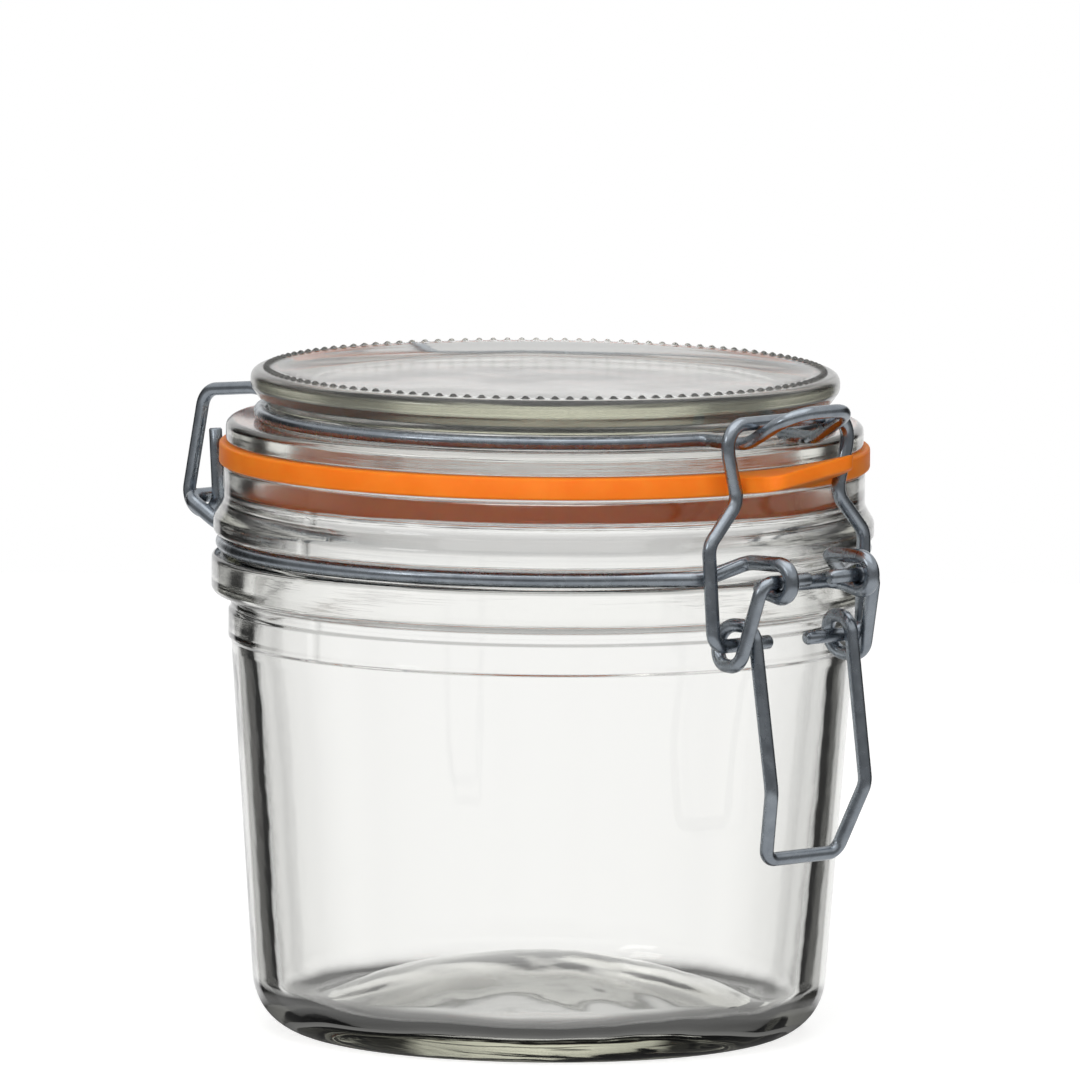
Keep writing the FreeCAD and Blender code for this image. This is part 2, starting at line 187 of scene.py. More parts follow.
# Pressed soda-lime glass: colourless in the thin wall, olive grey where it is thick. The blown wall is
# fire polished with long soft ripples; base, neck and lid keep the duller skin and the level lines of
# the mould, which are drawn coarser than they are so that they show.
glass = bpy.data.materials.new("pressed_soda_lime_glass")
glass.use_nodes = True
tree = glass.node_tree
tree.nodes.clear()
RIPPLE, HAZE, MOULD_LINE, LINE_LONG, TALL = 7.0, 2.5, 0.35, 14.0, 101.0
place = add(tree, "ShaderNodeTexCoord").outputs["Object"]
ripple = add(tree, "ShaderNodeTexNoise", {"Vector": place, "Scale": 1 / (RIPPLE * MM), "Detail": 2.0})
haze = add(tree, "ShaderNodeTexNoise", {"Vector": place, "Scale": 1 / (HAZE * MM), "Detail": 3.0})
level = add(tree, "ShaderNodeMapping", {"Vector": place, "Scale": (
    1 / (LINE_LONG * MM), 1 / (LINE_LONG * MM), 1 / (MOULD_LINE * MM))})
lines = add(tree, "ShaderNodeTexNoise", {"Vector": level.outputs["Vector"], "Scale": 1.0, "Detail": 2.0})
height = add(tree, "ShaderNodeSeparateXYZ", {"Vector": place}).outputs["Z"]
share = add(tree, "ShaderNodeMath", {0: height, 1: 1 / (TALL * MM)}, operation="MULTIPLY")
skin = grey_ramp(tree, share.outputs["Value"], [(z / TALL, rough, 1) for z, rough in (
    (0, 0.05), (5, 0.03), (14, 0.015), (56, 0.015), (67, 0.06), (88, 0.07), (93, 0.10), (98, 0.17))])
speck = add(tree, "ShaderNodeMapRange", {"Value": haze.outputs["Fac"], "From Min": 0.45, "From Max": 0.8,
                                         "To Min": 0.0, "To Max": 0.03})
polish = add(tree, "ShaderNodeMath", {0: skin["Color"], 1: speck.outputs["Result"]}, operation="ADD")
lined = add(tree, "ShaderNodeMapRange", {
    "Value": height, "From Min": BAND_LOW * MM, "From Max": COLLAR_TOP * MM})
swell = add(tree, "ShaderNodeBump", {"Height": ripple.outputs["Fac"], "Strength": 0.2,
                                     "Distance": 0.10 * MM})
relief = add(tree, "ShaderNodeBump", {"Height": lines.outputs["Fac"], "Strength": lined.outputs["Result"],
                                      "Distance": 0.012 * MM, "Normal": swell.outputs["Normal"]})
body = add(tree, "ShaderNodeBsdfPrincipled", {
    "Base Color": linear("#FFFFFF"), "Roughness": polish.outputs["Value"], "IOR": 1.52,
    "Transmission Weight": 1.0, "Normal": relief.outputs["Normal"]})
depth = add(tree, "ShaderNodeVolumeAbsorption", {"Color": linear("#E6E6D6"), "Density": 24.0})
add(tree, "ShaderNodeOutputMaterial", {"Surface": body.outputs["BSDF"], "Volume": depth.outputs["Volume"]})
jar.data.materials.append(glass)
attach(jar, "jar")
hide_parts("glass_jar")

# Neck ring. Drawn steel wire, zinc plated and bent on a jig into one closed hoop that lies in the
# groove of the jar: a hinge bar stands off behind, and in front it is curled into two eyes with a
# bridge between them.
NECK_WIRE_R = NECK_GROOVE_R + 0.1 + NECK_WIRE / 2
HINGE_Y, HINGE_Z = 58.4, NECK_WIRE_Z + NECK_WIRE + 1.0
PIVOT_Y, PIVOT_Z = -58.9, NECK_WIRE_Z + 0.05
EYE_X, EYE_HIGH = 8.4, 5.5
HOOK_X = 15.5
END_FACE, END_OUT = 0.82, 0.12


def groove_arc(radius, height, first, last, step=3.0):
    """Corners along a groove round the jar's axis, by degrees from +Y over -X."""
    steps = math.ceil(abs(last - first) / step)
    turns = [math.radians(first + (last - first) * i / steps) for i in range(steps + 1)]
    return [(-radius * math.sin(a), radius * math.cos(a), height, 0) for a in turns]


def leave_groove(radius, degrees, x):
    """Where the tangent to the groove at those degrees from +Y reaches x."""
    a = math.radians(degrees)
    gx, gy = -radius * math.sin(a), radius * math.cos(a)
    return x, gy - math.sin(a) * (x - gx) / -math.cos(a)


def mirrored(corners):
    """The same corners on the +X side, in reverse order."""
    return [(-x, y, z, bend) for x, y, z, bend in reversed(corners)]


def wire(name, path, diameter, closed=False, sides=20):
    """Round wire along a path in mm, with lengthwise UVs in mm and sheared, rounded ends."""
    count = len(path)
    ahead = [(path[(i + 1) % count if closed else min(i + 1, count - 1)]
              - path[i - 1 if closed or i else 0]).normalized() for i in range(count)]
    across = ahead[0].orthogonal().normalized()
    tube = bmesh.new()
    chart = tube.loops.layers.uv.new("along_wire")
    rings, marks, mark = [], [], 0.0
    for i, spot in enumerate(path):
        if i:
            across = (ahead[i - 1].rotation_difference(ahead[i]) @ across).normalized()
            mark += (spot - path[i - 1]).length
        across = (across - ahead[i] * across.dot(ahead[i])).normalized()
        over = ahead[i].cross(across)
        turns = [2 * math.pi * k / sides for k in range(sides)]
        spokes = [(across * math.cos(t) + over * math.sin(t)) * diameter / 2 for t in turns]
        rings.append([tube.verts.new((spot + spoke) * MM) for spoke in spokes])
        marks.append(mark)
    slip = 0
    if closed:
        first = rings[0][0].co
        slip = min(range(sides), key=lambda k: (rings[-1][k].co - first).length)
    for i in range(count if closed else count - 1):
        j = (i + 1) % count
        end = marks[j] if j else mark + (path[0] - path[-1]).length
        shift = slip if j == 0 else 0
        for k in range(sides):
            a, b = k, (k + 1) % sides
            face = tube.faces.new([rings[i][(a + shift) % sides], rings[i][(b + shift) % sides],
                                   rings[j][b], rings[j][a]])
            spans = [(marks[i], k), (marks[i], k + 1), (end, k + 1), (end, k)]
            for loop, (u, v) in zip(face.loops, spans):
                loop[chart].uv = (u, v * math.pi * diameter / sides)
    if not closed:
        for ring, out in ((rings[0], -ahead[0]), (rings[-1], ahead[-1])):
            middle = sum((v.co for v in ring), Vector()) / sides
            edge = [tube.verts.new(middle + (v.co - middle) * END_FACE + out * END_OUT * diameter * MM)
                    for v in ring]
            for k in range(sides):
                tube.faces.new([ring[k], ring[(k + 1) % sides], edge[(k + 1) % sides], edge[k]])
            tube.faces.new(edge)
    bmesh.ops.recalc_face_normals(tube, faces=tube.faces)
    mesh = bpy.data.meshes.new(name)
    tube.to_mesh(mesh)
    tube.free()
    mesh.shade_smooth()
    piece = bpy.data.objects.new(name, mesh)
    bpy.context.collection.objects.link(piece)
    return piece


BAR_X = HOOK_X + 1.2 + NECK_WIRE
EYE_TOP, EYE_LOW, EYE_OUT = PIVOT_Z + EYE_HIGH / 2, PIVOT_Z - EYE_HIGH / 2, PIVOT_Y - EYE_HIGH / 2
BRIDGE_Y, BRIDGE_Z = -(COLLAR_R + 3.8), EYE_LOW + 1.5
rear_x, rear_y = leave_groove(NECK_WIRE_R, 27.5, -BAR_X - 0.2)
front_x, front_y = leave_groove(NECK_WIRE_R, 146.0, -EYE_X)
groove = groove_arc(NECK_WIRE_R, NECK_WIRE_Z, 27.5, 146.0)
rise_x = groove[-1][0] + 0.7 * (front_x - groove[-1][0])
rise_y = groove[-1][1] + 0.7 * (front_y - groove[-1][1])
half = [(-BAR_X, HINGE_Y, HINGE_Z, 2.3), (-BAR_X - 0.1, COLLAR_R + 1.5, NECK_WIRE_Z, 4.0),
        (rear_x, rear_y, NECK_WIRE_Z, 2.3), *groove, (rise_x, rise_y, NECK_WIRE_Z, 6.0),
        (front_x, front_y, EYE_TOP - 0.3, 2.3), (-EYE_X, EYE_OUT, EYE_TOP, 2.6),
        (-EYE_X, EYE_OUT, EYE_LOW, 2.3), (-EYE_X, BRIDGE_Y, BRIDGE_Z, 2.3)]
hoop = bent([(0, HINGE_Y, HINGE_Z, 0), *half, *mirrored(half), (0, HINGE_Y, HINGE_Z, 0)])
neck_ring = wire("neck_ring_wire", hoop[:-1], NECK_WIRE, closed=True)

# Zinc-plated drawn steel: a blue-grey satin metal with lines along the wire from the drawing die,
# drawn coarser than they are so that they show, a cloudy plating, and small bright rubs.
zinc = bpy.data.materials.new("zinc_plated_drawn_wire")
zinc.use_nodes = True
tree = zinc.node_tree
tree.nodes.clear()
DRAW_LINE, CLOUD, RUB = 0.3, 3.0, 2.0
place = add(tree, "ShaderNodeTexCoord")
lengthwise = add(tree, "ShaderNodeMapping", {"Vector": place.outputs["UV"], "Scale": (0.03, 1.0, 1.0)})
lines = add(tree, "ShaderNodeTexNoise", {"Vector": lengthwise.outputs["Vector"], "Scale": 1 / DRAW_LINE,
                                         "Detail": 2.0})
cloud = add(tree, "ShaderNodeTexNoise", {"Vector": place.outputs["Object"], "Scale": 1 / (CLOUD * MM),
                                         "Detail": 4.0, "Roughness": 0.6})
rub = add(tree, "ShaderNodeTexNoise", {"Vector": place.outputs["Object"], "Scale": 1 / (RUB * MM),
                                       "Detail": 2.0})
tint = add(tree, "ShaderNodeValToRGB", {"Fac": cloud.outputs["Fac"]})
tint.color_ramp.elements[0].position, tint.color_ramp.elements[1].position = 0.3, 0.72
tint.color_ramp.elements[0].color, tint.color_ramp.elements[1].color = linear("#858C94"), linear("#9DA4AB")
sheen = add(tree, "ShaderNodeMapRange", {"Value": rub.outputs["Fac"], "From Min": 0.35, "From Max": 0.75,
                                         "To Min": 0.3, "To Max": 0.18})
relief = add(tree, "ShaderNodeBump", {"Height": lines.outputs["Fac"], "Strength": 0.1,
                                      "Distance": 0.03 * MM})
body = add(tree, "ShaderNodeBsdfPrincipled", {
    "Base Color": tint.outputs["Color"], "Metallic": 1.0, "Roughness": sheen.outputs["Result"],
    "Normal": relief.outputs["Normal"]})
add(tree, "ShaderNodeOutputMaterial", {"Surface": body.outputs["BSDF"]})
neck_ring.data.materials.append(zinc)
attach(neck_ring, "jar")
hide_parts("neck_ring")

# Rubber gasket. Flat ring moulded from orange natural rubber, squeezed between the rim and the lid,
# with a tongue in front to pull it open, which curls up a little and is twisted to one side.
GASKET_IN, GASKET_OUT = 42.4, 49.0
GASKET_LOW, GASKET_TOP = JAR_TALL + 0.1, JAR_TALL + 3.4
TONGUE_HALF, TONGUE_OUT, TONGUE_THICK, TONGUE_CORNER = 8.8, 58.4, 2.3, 2.5
TONGUE_ROOT = 47.5
CURL, TWIST = 2.3, 1.3
GASKET_EDGE = 0.45


def tongue_reach(a):
    """Radius where the outline of ring and tongue is met, at an angle from -Y."""
    near, far = GASKET_OUT, TONGUE_OUT + 1
    for _ in range(20):
        r = (near + far) / 2
        over = max(0, abs(r * math.sin(a)) - TONGUE_HALF + TONGUE_CORNER)
        out = max(0, r * math.cos(a) - TONGUE_OUT + TONGUE_CORNER)
        inside = math.hypot(over, out) < TONGUE_CORNER and math.cos(a) > 0
        near, far = (r, far) if inside else (near, r)
    return near


def gasket_section(a):
    """Rounded section of the gasket at an angle from -Y, drawn out, thinned and curled at the tongue."""
    outer = tongue_reach(a)
    drawn = (outer - GASKET_OUT) / (TONGUE_OUT - GASKET_OUT)
    thin = (GASKET_TOP - GASKET_LOW - TONGUE_THICK) / 2 * min(1, 4 * drawn)
    edge = GASKET_EDGE
    section = []
    for r, z, start in ((outer - edge, GASKET_LOW + thin + edge, -90),
                        (outer - edge, GASKET_TOP - thin - edge, 0),
                        (TONGUE_ROOT, GASKET_TOP - edge, 90), (GASKET_IN + edge, GASKET_TOP - edge, 90),
                        (GASKET_IN + edge, GASKET_LOW + edge, 180), (TONGUE_ROOT, GASKET_LOW + edge, 270)):
        turns = (start,) if r == TONGUE_ROOT else range(start, start + 91, 18)
        section += [(r + edge * math.cos(math.radians(t)), z + edge * math.sin(math.radians(t)))
                    for t in turns]
    curled = []
    for r, z in section:
        x, out = r * math.sin(a), r * math.cos(a)
        along = max(0, out - TONGUE_ROOT) / (TONGUE_OUT - TONGUE_ROOT) if drawn > 0 else 0
        curled.append((x, -out, z + (CURL + TWIST * x / TONGUE_HALF) * along ** 1.3))
    return curled


fine_turn, plain_turn, tongue_turn = 0.25, 1.0, 13
degrees = [i * fine_turn - tongue_turn for i in range(round(2 * tongue_turn / fine_turn))]
degrees += [tongue_turn + i * plain_turn for i in range(round((360 - 2 * tongue_turn) / plain_turn))]
sheet = bmesh.new()
rings = [[sheet.verts.new(Vector(p) * MM) for p in gasket_section(math.radians(d))] for d in degrees]
for this, after in zip(rings, rings[1:] + rings[:1]):
    for k in range(len(this)):
        n = (k + 1) % len(this)
        sheet.faces.new([this[k], this[n], after[n], after[k]])
bmesh.ops.recalc_face_normals(sheet, faces=sheet.faces)
mesh = bpy.data.meshes.new("gasket_rubber")
sheet.to_mesh(mesh)
sheet.free()
mesh.shade_smooth()
gasket = bpy.data.objects.new("gasket_rubber", mesh)
bpy.context.collection.objects.link(gasket)

# Moulded natural rubber: strong orange, satin, a little see-through at thin edges, with a faint
# bloom and the grain of the mould, drawn coarser than it is so that it shows.
rubber = bpy.data.materials.new("moulded_orange_rubber")
rubber.use_nodes = True
tree = rubber.node_tree
tree.nodes.clear()
BLOOM, GRAIN = 6.0, 0.25
place = add(tree, "ShaderNodeTexCoord").outputs["Object"]
bloom = add(tree, "ShaderNodeTexNoise", {"Vector": place, "Scale": 1 / (BLOOM * MM), "Detail": 5.0})
grain = add(tree, "ShaderNodeTexNoise", {"Vector": place, "Scale": 1 / (GRAIN * MM), "Detail": 2.0})
tint = add(tree, "ShaderNodeValToRGB", {"Fac": bloom.outputs["Fac"]})
tint.color_ramp.elements[0].position, tint.color_ramp.elements[1].position = 0.35, 0.7
tint.color_ramp.elements[0].color, tint.color_ramp.elements[1].color = linear("#F07A1C"), linear("#F68628")
sheen = add(tree, "ShaderNodeMapRange", {"Value": bloom.outputs["Fac"], "To Min": 0.42, "To Max": 0.58})
relief = add(tree, "ShaderNodeBump", {"Height": grain.outputs["Fac"], "Strength": 0.2,
                                      "Distance": 0.02 * MM})
body = add(tree, "ShaderNodeBsdfPrincipled", {
    "Base Color": tint.outputs["Color"], "Roughness": sheen.outputs["Result"], "Specular IOR Level": 0.12,
    "Subsurface Weight": 0.6, "Subsurface Radius": (0.003, 0.0008, 0.0002), "Subsurface Scale": 1.0,
    "Normal": relief.outputs["Normal"]})
add(tree, "ShaderNodeOutputMaterial", {"Surface": body.outputs["BSDF"]})
gasket.data.materials.append(rubber)
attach(gasket, "lid")
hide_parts("rubber_gasket")

# Glass lid. Pressed soda-lime glass: a flange that sits on the gasket, a crown with a wire groove
# under it, a ring of small beads on top, a dished panel, and a hollow plug that enters the mouth.
FLANGE_R, FLANGE_LOW, FLANGE_TOP = 48.0, 89.4, 92.75
CROWN_R, LAND_Z = 44.35, 100.4
LID_GROOVE_R = CROWN_R - 2.6
PLUG_R, PLUG_LOW = 42.1, JAR_TALL - 1.0
PANEL_Z = LAND_Z - 1.5
HOLLOW_Z = PANEL_Z - 4.0
BEADS, BEAD_RING_R, BEAD_R, BEAD_TALL = 120, CROWN_R - 2.4, 0.6, 0.48
BEAD_STEPS = 8
LID_SIDES = BEADS * BEAD_STEPS
PANEL_RIPPLE, HOLLOW_RIPPLE, RIPPLE_LONG = 0.12, 0.35, 11
lid_corners = [
    (0, PANEL_Z, 0), (CROWN_R - 9.5, PANEL_Z, 6.0), (CROWN_R - 4.0, LAND_Z, 1.5), (CROWN_R, LAND_Z, 1.5),
    (CROWN_R, FLANGE_TOP + 5.1, 1.5), (CROWN_R - 1.1, FLANGE_TOP + 3.5, 1.0),
    (LID_GROOVE_R, FLANGE_TOP + 2.5, 0.6), (LID_GROOVE_R, FLANGE_TOP, 0.9), (FLANGE_R, FLANGE_TOP, 1.2),
    (FLANGE_R, FLANGE_LOW, 0.4), (PLUG_R, FLANGE_LOW, 0.4), (PLUG_R, PLUG_LOW, 0.8),
    (PLUG_R - 3.4, PLUG_LOW, 0.8), (PLUG_R - 4.0, HOLLOW_Z, 4.0), (0, HOLLOW_Z + 0.3, 0)]


def beaded(r, z, top):
    """Lid row: beads on the land, and long low ripples in the panel."""
    row = ring_row(r, z, LID_SIDES)
    if len(row) == 1:
        return row
    lifted = []
    for i, (x, y, z) in enumerate(row):
        step = (i + BEAD_STEPS // 2) % BEAD_STEPS - BEAD_STEPS // 2
        across = step / BEAD_STEPS * 2 * math.pi * BEAD_RING_R / BEADS
        away = math.hypot(across, r - BEAD_RING_R) / BEAD_R
        bead = BEAD_TALL * (1 - away ** 2) ** 0.7 if top and away < 1 else 0
        spot = Vector((x / RIPPLE_LONG, y / RIPPLE_LONG, 0 if top else 5))
        wavy = PANEL_RIPPLE if top else HOLLOW_RIPPLE
        ripple = wavy * noise.noise(spot) if r < CROWN_R - 8 else 0
        lifted.append((x, y, z + bead + ripple))
    return lifted


lid_outline = outline(lid_corners, run=1.5)
fine = [(BEAD_RING_R + BEAD_R * k / 6, LAND_Z) for k in range(-6, 7)]
before = [p for p in lid_outline if p[1] > PANEL_Z - 0.01 and p[0] < BEAD_RING_R - BEAD_R - 0.05]
after = lid_outline[next(i for i, p in enumerate(lid_outline) if p[0] > BEAD_RING_R + BEAD_R + 0.05):]
lid_rows = [beaded(r, z, True) for r, z in before + fine]
lid_rows += [beaded(r, z, False) for r, z in after]
lid = turned("lid_glass", lid_rows, LID_SIDES)
lid.data.materials.append(glass)
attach(lid, "lid")
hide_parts("glass_lid")

# Lid ring. One zinc-plated wire in the groove of the lid: its nose reaches out in front for the
# clasp, and its two ends are hooked round the hinge bar behind.
LID_WIRE = 2.0
LID_WIRE_R, LID_WIRE_Z = LID_GROOVE_R + 0.1 + LID_WIRE / 2, FLANGE_TOP + 0.1 + LID_WIRE / 2
NOSE_HALF, NOSE_BEND, ARM_X = 6.4, 4.5, 7.9
FOOT_Y, NOSE_Y, NOSE_SLOPE = -(FLANGE_R + 2.6), -(FLANGE_R + 11.5), math.radians(30)
NOSE_Z = LID_WIRE_Z + (FOOT_Y - NOSE_Y) * math.tan(NOSE_SLOPE)
HOOK_LOW = HINGE_Z - NECK_WIRE / 2 - 0.3 - LID_WIRE / 2
nose_x, nose_y = leave_groove(LID_WIRE_R, 165.5, -ARM_X)
hook_x, hook_y = leave_groove(LID_WIRE_R, 25.5, -HOOK_X)
half = [(-HOOK_X, HINGE_Y - 2.4, HOOK_LOW + 12.7, 0), (-HOOK_X, HINGE_Y - 3.4, HOOK_LOW, 3.1),
        (-HOOK_X, HINGE_Y + 4.0, HOOK_LOW, 3.1), (-HOOK_X, HINGE_Y, LID_WIRE_Z - 0.3, 3.5),
        (-HOOK_X, FLANGE_R - 0.5, LID_WIRE_Z + 0.9, 8.0), (hook_x, hook_y, LID_WIRE_Z, 2.0),
        *groove_arc(LID_WIRE_R, LID_WIRE_Z, 25.5, 165.5), (nose_x, nose_y, LID_WIRE_Z, 2.0),
        (-(NOSE_HALF + ARM_X) / 2, FOOT_Y, LID_WIRE_Z, 6.0), (-NOSE_HALF, NOSE_Y, NOSE_Z, NOSE_BEND)]
lid_ring = wire("lid_ring_wire", bent(half + mirrored(half)), LID_WIRE)
lid_ring.data.materials.append(zinc)
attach(lid_ring, "lid")
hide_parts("lid_ring")

# Lever. One zinc-plated wire: its ends are pins that turn in the eyes of the neck ring, each arm
# has a coil for the clasp, and the rest is a U-shaped handle.
LATCH_WIRE = 2.1
COIL_Y, COIL_Z, COIL_R, COIL_PITCH = PIVOT_Y + 6.4, PIVOT_Z - 9.8, 2.95, 3.0
LEG_X = 10.0
COIL_X = LEG_X + COIL_PITCH
HANDLE_DROP = 32.1
half = [(-2.4, PIVOT_Y, PIVOT_Z, 0), (-COIL_X + 1.3, PIVOT_Y, PIVOT_Z, 2.2),
        (-COIL_X, COIL_Y - COIL_R, COIL_Z - COIL_R, COIL_R - 0.15),
        (-COIL_X + COIL_PITCH / 3, COIL_Y + COIL_R, COIL_Z - COIL_R, COIL_R - 0.15),
        (-COIL_X + COIL_PITCH * 2 / 3, COIL_Y + COIL_R, COIL_Z + COIL_R, COIL_R - 0.15),
        (-LEG_X, COIL_Y - COIL_R, COIL_Z + COIL_R, COIL_R - 0.15),
        (-LEG_X + 0.2, COIL_Y - 6.9, COIL_Z - HANDLE_DROP + 10.6, 4.0),
        (-LEG_X + 2.7, COIL_Y - 3.3, COIL_Z - HANDLE_DROP, 2.2)]
lever = wire("lever_wire", bent(half + mirrored(half)), LATCH_WIRE)
lever.data.materials.append(zinc)
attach(lever, "lever")
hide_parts("lever")

# Clasp. One zinc-plated wire: a bail whose crossbar pulls the nose of the lid ring down, and whose
# two ends are turned in to hang in the coils of the lever.
CLASP_HALF, CLASP_X, CLASP_Y = 12.5, COIL_X + LATCH_WIRE + 0.3, COIL_Y + 0.5
ON_NOSE = (LID_WIRE / 2 + LATCH_WIRE / 2 + 0.1) / math.cos(NOSE_SLOPE)
CLASP_Z = LID_WIRE_Z + (FOOT_Y - CLASP_Y) * math.tan(NOSE_SLOPE) + ON_NOSE
half = [(-4.1, COIL_Y, COIL_Z, 0), (-CLASP_X, COIL_Y, COIL_Z, 2.2),
        (-CLASP_X - 0.8, CLASP_Y, COIL_Z + 15.1, 3.2), (-CLASP_HALF + 2.2, CLASP_Y, COIL_Z + 21.3, 3.2),
        (-CLASP_HALF + 0.1, CLASP_Y, COIL_Z + 28.6, 6.4), (-CLASP_HALF, CLASP_Y, CLASP_Z, 3.2)]
clasp = wire("clasp_wire", bent(half + mirrored(half)), LATCH_WIRE)
clasp.data.materials.append(zinc)
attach(clasp, "clasp")
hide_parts("clasp")

# Studio. A white table, a white wall behind with a dark card on either side of it, a paler surround
# in upright strips for the other sides, a large weak lamp above and a small one on the left.
FLOOR_R, PAINTED_SHADOW_R = 0.6, 0.12
floor_mesh = bpy.data.meshes.new("floor")
disc = bmesh.new()
bmesh.ops.create_circle(disc, cap_ends=True, segments=96, radius=FLOOR_R)
disc.to_mesh(floor_mesh)
disc.free()
floor = bpy.data.objects.new("floor", floor_mesh)
bpy.context.collection.objects.link(floor)

# Matt white paper: even and without gloss. Glass and metal see on it a painted shadow under the jar:
# a glow set by the distance from the axis, darkest in the ring where the jar stands.
paper = bpy.data.materials.new("white_paper")
paper.use_nodes = True
tree = paper.node_tree
tree.nodes.clear()
ray = add(tree, "ShaderNodeLightPath").outputs
place = add(tree, "ShaderNodeTexCoord").outputs["Object"]
through = add(tree, "ShaderNodeMath", {0: ray["Is Transmission Ray"], 1: ray["Is Glossy Ray"]},
              operation="MAXIMUM")
away = add(tree, "ShaderNodeVectorMath", {0: place}, operation="LENGTH")
share = add(tree, "ShaderNodeMath", {0: away.outputs["Value"], 1: 1 / PAINTED_SHADOW_R}, operation="MULTIPLY")
# Painted shadow for glass and metal: a grey glow by distance from the jar's axis, see-through beyond it.
painted_shadow = grey_ramp(tree, share.outputs["Value"], (
    (0.0, 0.72, 1), (0.14, 0.68, 1), (0.23, 0.24, 1), (0.31, 0.09, 1), (0.38, 0.09, 1), (0.48, 0.9, 0)))
painted_shadow_glow = add(tree, "ShaderNodeEmission", {"Color": painted_shadow["Color"]})
open_air = add(tree, "ShaderNodeBsdfTransparent")
shade = add(tree, "ShaderNodeMixShader", {0: painted_shadow["Alpha"], 1: open_air.outputs["BSDF"],
                                          2: painted_shadow_glow.outputs["Emission"]})
matt = add(tree, "ShaderNodeBsdfDiffuse", {"Color": linear("#D8D8D6")})
lift = add(tree, "ShaderNodeMath", {0: ray["Is Camera Ray"], 1: 0.72}, operation="MULTIPLY")
glow = add(tree, "ShaderNodeEmission", {"Strength": lift.outputs["Value"]})
plain = add(tree, "ShaderNodeAddShader", {0: glow.outputs["Emission"], 1: matt.outputs["BSDF"]})
both = add(tree, "ShaderNodeMixShader", {0: through.outputs["Value"], 1: plain.outputs["Shader"],
                                         2: shade.outputs["Shader"]})
add(tree, "ShaderNodeOutputMaterial", {"Surface": both.outputs["Shader"]})
floor.data.materials.append(paper)

# The room. Through glass it is the wall, the cards, the strips and a dimmer table; in metal it is a
# darker room with a pale ceiling; and it lights the object softly from the front left.
world = bpy.data.worlds.new("studio")
bpy.context.scene.world = world
world.use_nodes = True
tree = world.node_tree
tree.nodes.clear()
BEHIND, STRIPS, CARD, KEY_FROM = math.radians(46), 8, 0.03, Vector((-0.70, -0.70, 0.2))
ray = add(tree, "ShaderNodeLightPath").outputs
place = add(tree, "ShaderNodeTexCoord").outputs["Generated"]
axes = add(tree, "ShaderNodeSeparateXYZ", {"Vector": place}).outputs
about = add(tree, "ShaderNodeMath", {0: axes["Y"], 1: axes["X"]}, operation="ARCTAN2")
turn = add(tree, "ShaderNodeMath", {0: about.outputs["Value"], 1: -BEHIND}, operation="ADD")
facing = add(tree, "ShaderNodeMath", {0: turn.outputs["Value"]}, operation="COSINE")
aside = add(tree, "ShaderNodeMath", {0: facing.outputs["Value"]}, operation="ARCCOSINE")
off = add(tree, "ShaderNodeMath", {0: aside.outputs["Value"], 1: 1 / math.pi}, operation="MULTIPLY")
phase = add(tree, "ShaderNodeMath", {0: turn.outputs["Value"], 1: STRIPS}, operation="MULTIPLY")
wave = add(tree, "ShaderNodeMath", {0: phase.outputs["Value"]}, operation="COSINE")
strips = add(tree, "ShaderNodeMapRange", {"Value": wave.outputs["Value"], "From Min": -0.5, "From Max": 0.5,
                                          "To Min": 0.75, "To Max": 0.95}, interpolation_type="SMOOTHSTEP")
wall = grey_ramp(tree, off.outputs["Value"], (
    (0.0, 1.0, 1), (5 / 180, 0.98, 1), (9 / 180, 0.9, 1), (14 / 180, 0.78, 1), (21 / 180, 0.66, 1),
    (25 / 180, CARD, 1), (38 / 180, CARD, 1), (42 / 180, 0.6, 0)))
ahead = add(tree, "ShaderNodeMapRange", {"Value": facing.outputs["Value"],
                                         "From Min": -0.2, "From Max": -0.6})
around = add(tree, "ShaderNodeMix", {"Factor": ahead.outputs["Result"],
                                     "A": strips.outputs["Result"], "B": 0.9})
seen = add(tree, "ShaderNodeMix", {"Factor": wall["Alpha"],
                                   "A": around.outputs["Result"], "B": wall["Color"]})
upright = add(tree, "ShaderNodeMath", {0: axes["Z"]}, operation="ABSOLUTE")
ceiling = add(tree, "ShaderNodeMapRange", {"Value": upright.outputs["Value"], "From Min": 0.2,
                                           "From Max": 0.45}, interpolation_type="SMOOTHSTEP")
table = add(tree, "ShaderNodeMapRange", {"Value": facing.outputs["Value"],
                                         "From Min": -0.3, "From Max": 0.5, "To Min": 1.0, "To Max": 0.6})
steep = add(tree, "ShaderNodeMapRange", {"Value": axes["Z"], "From Min": -0.65, "From Max": -0.8})
below = add(tree, "ShaderNodeMix", {"Factor": steep.outputs["Result"],
                                    "A": table.outputs["Result"], "B": 0.95})
bounce = add(tree, "ShaderNodeMapRange", {"Value": axes["Z"], "From Min": -0.1, "From Max": 0.1,
                                          "To Min": below.outputs["Result"], "To Max": 0.4})
through = add(tree, "ShaderNodeMix", {"Factor": ceiling.outputs["Result"], "A": seen.outputs["Result"],
                                      "B": bounce.outputs["Result"]})
room = grey_ramp(tree, off.outputs["Value"], (
    (0.0, 1.0, 1), (22 / 180, 1.0, 1), (26 / 180, CARD, 1), (60 / 180, 0.05, 1), (90 / 180, 0.3, 1),
    (1.0, 0.18, 1)))
mirrored_light = add(tree, "ShaderNodeMix", {"Factor": ceiling.outputs["Result"],
                                             "A": room["Color"], "B": 0.8})
towards = add(tree, "ShaderNodeVectorMath", {0: place, 1: KEY_FROM.normalized()}, operation="DOT_PRODUCT")
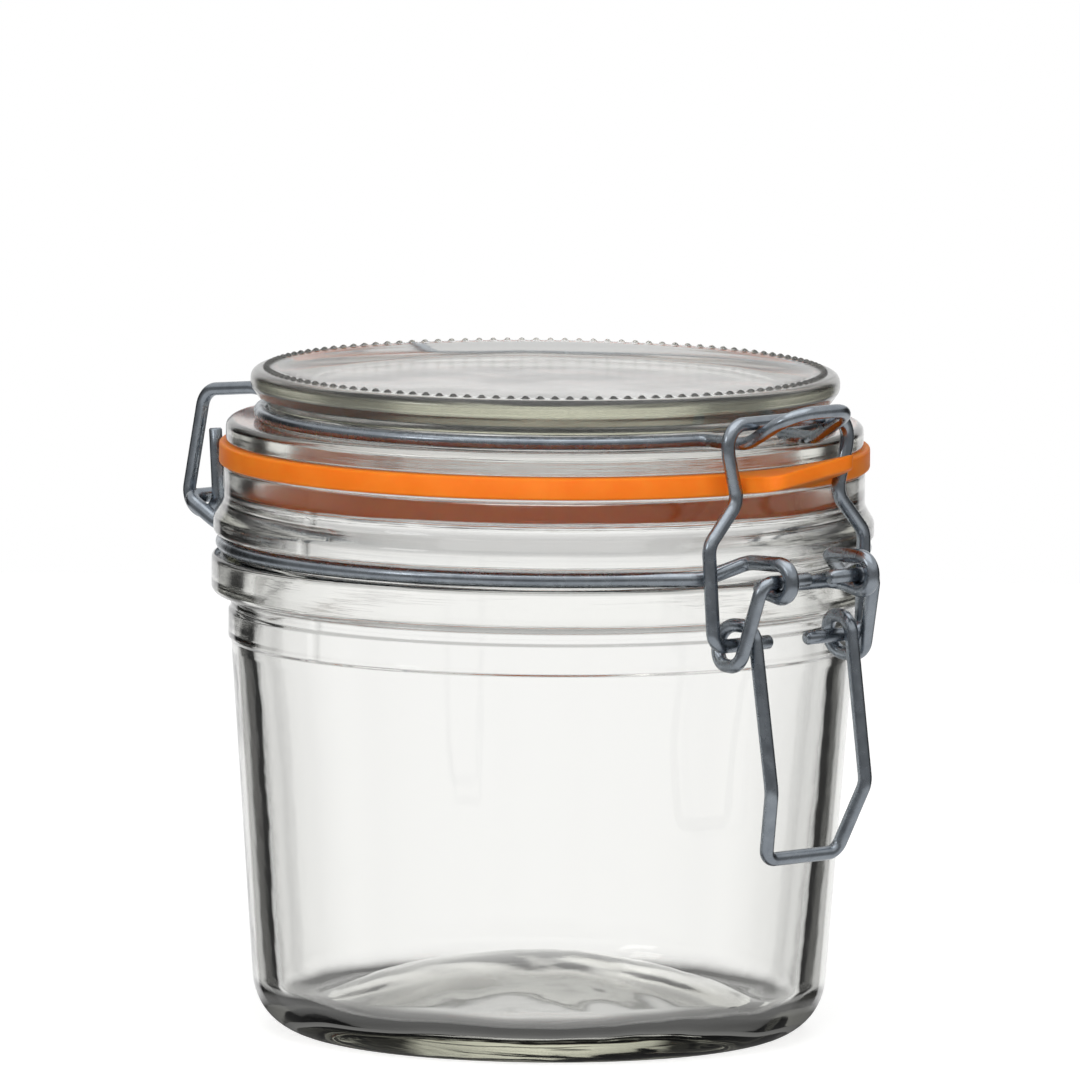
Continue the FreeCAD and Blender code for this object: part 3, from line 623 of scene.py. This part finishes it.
front = add(tree, "ShaderNodeMapRange", {"Value": towards.outputs["Value"],
                                         "From Min": 0.6, "From Max": 1.0, "To Min": 0.06, "To Max": 2.9})
soft = add(tree, "ShaderNodeMix", {"Factor": ray["Is Glossy Ray"], "A": front.outputs["Result"],
                                   "B": mirrored_light.outputs["Result"]})
clear = add(tree, "ShaderNodeMix", {"Factor": ray["Is Transmission Ray"], "A": soft.outputs["Result"],
                                    "B": through.outputs["Result"]})
shown = add(tree, "ShaderNodeMath", {0: clear.outputs["Result"], 1: ray["Is Camera Ray"]},
            operation="MAXIMUM")
light = add(tree, "ShaderNodeBackground", {"Color": linear("#FFFFFF"), "Strength": shown.outputs["Value"]})
add(tree, "ShaderNodeOutputWorld", {"Surface": light.outputs["Background"]})


def soft_lamp(name, place, aim, size, power):
    """Square soft lamp in metres and watts, turned to face a point."""
    lamp = bpy.data.lights.new(name, "AREA")
    lamp.shape, lamp.size, lamp.energy = "SQUARE", size, power
    made = bpy.data.objects.new(name, lamp)
    made.location = place
    made.rotation_euler = (Vector(aim) - Vector(place)).to_track_quat("-Z", "Y").to_euler()
    bpy.context.collection.objects.link(made)


soft_lamp("lamp_above", (-0.1, -0.1, 0.9), (0, 0, 0.05), 1.0, 3.4)
soft_lamp("lamp_left", (-1.05, 0.1, 0.55), (0, 0, 0.05), 0.3, 0.9)

# Camera. A long lens from the front left, a little above the lid, as the photograph was taken.
CAMERA_AT, CAMERA_AIM = Vector((-2.08438, -2.15763, 0.41623)), Vector((-0.00040, 0.000386, 0.07456))
lens = bpy.data.cameras.new("camera")
lens.lens, lens.sensor_width, lens.clip_end = 668.3, 36.0, 20.0
camera = bpy.data.objects.new("camera", lens)
camera.location = CAMERA_AT
camera.rotation_mode = "QUATERNION"
tilt = Matrix.Rotation(math.radians(0.6), 3, "Z").to_quaternion()
camera.rotation_quaternion = (CAMERA_AIM - CAMERA_AT).to_track_quat("-Z", "Y") @ tilt
bpy.context.collection.objects.link(camera)
bpy.context.scene.camera = camera
bpy.context.scene.view_settings.view_transform = "Standard"
